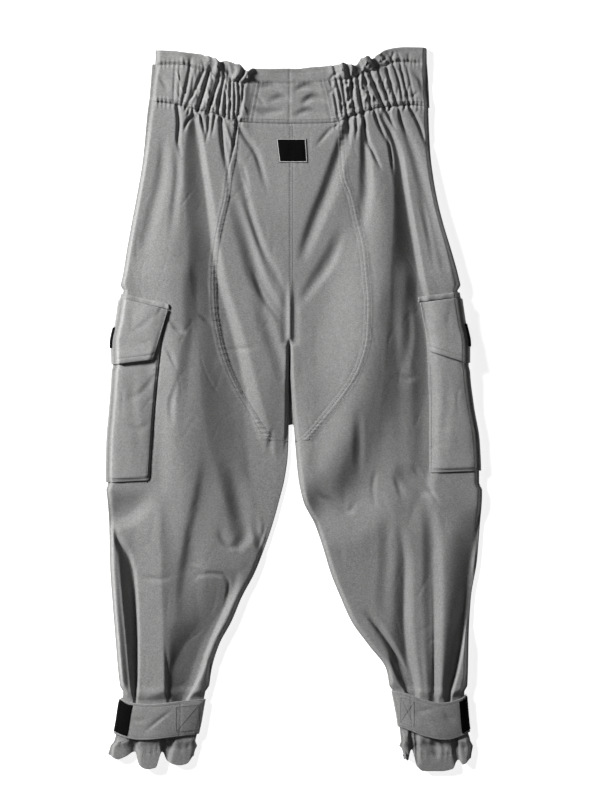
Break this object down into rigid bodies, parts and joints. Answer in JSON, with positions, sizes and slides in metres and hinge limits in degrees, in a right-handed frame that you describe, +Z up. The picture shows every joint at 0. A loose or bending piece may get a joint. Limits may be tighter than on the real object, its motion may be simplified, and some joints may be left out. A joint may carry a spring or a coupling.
{
  "type": "cargo trousers laid flat",
  "caption": "Loose cargo trousers with a gathered paper-bag waist, side pockets and strapped cuffs, laid flat with the back up.",
  "frame": {"origin": "centre of the garment's outline, on the surface that it lies on", "axes": "+Y from the cuffs to the waist, +X to the right as the back is seen, +Z up out of the surface"},
  "size_m": [0.5068, 0.974, 0.0276],
  "materials": {
    "twill": "grey cotton twill with a slight sheen",
    "label": "black woven tape"
  },
  "bodies": {
    "root": {"back_leg_left": "twill", "back_leg_right": "twill", "seat_panel_left": "twill", "seat_panel_right": "twill", "front_leg_left": "twill", "front_leg_right": "twill", "waistband_elastic_left": "twill", "waistband_elastic_right": "twill", "waistband_block": "twill", "waistband_front": "twill", "frill_back": "twill", "frill_front": "twill", "cargo_pocket_left": "twill", "cargo_pocket_right": "twill", "pocket_flap_left": "twill", "pocket_flap_right": "twill", "flap_band_left": "twill", "flap_band_right": "twill", "flap_tab_left": "label", "flap_tab_right": "label", "ankle_strap_left": "twill", "ankle_strap_right": "twill", "strap_patch_left": "label", "strap_patch_right": "label", "seat_label": "label"}
  },
  "joints": []
}
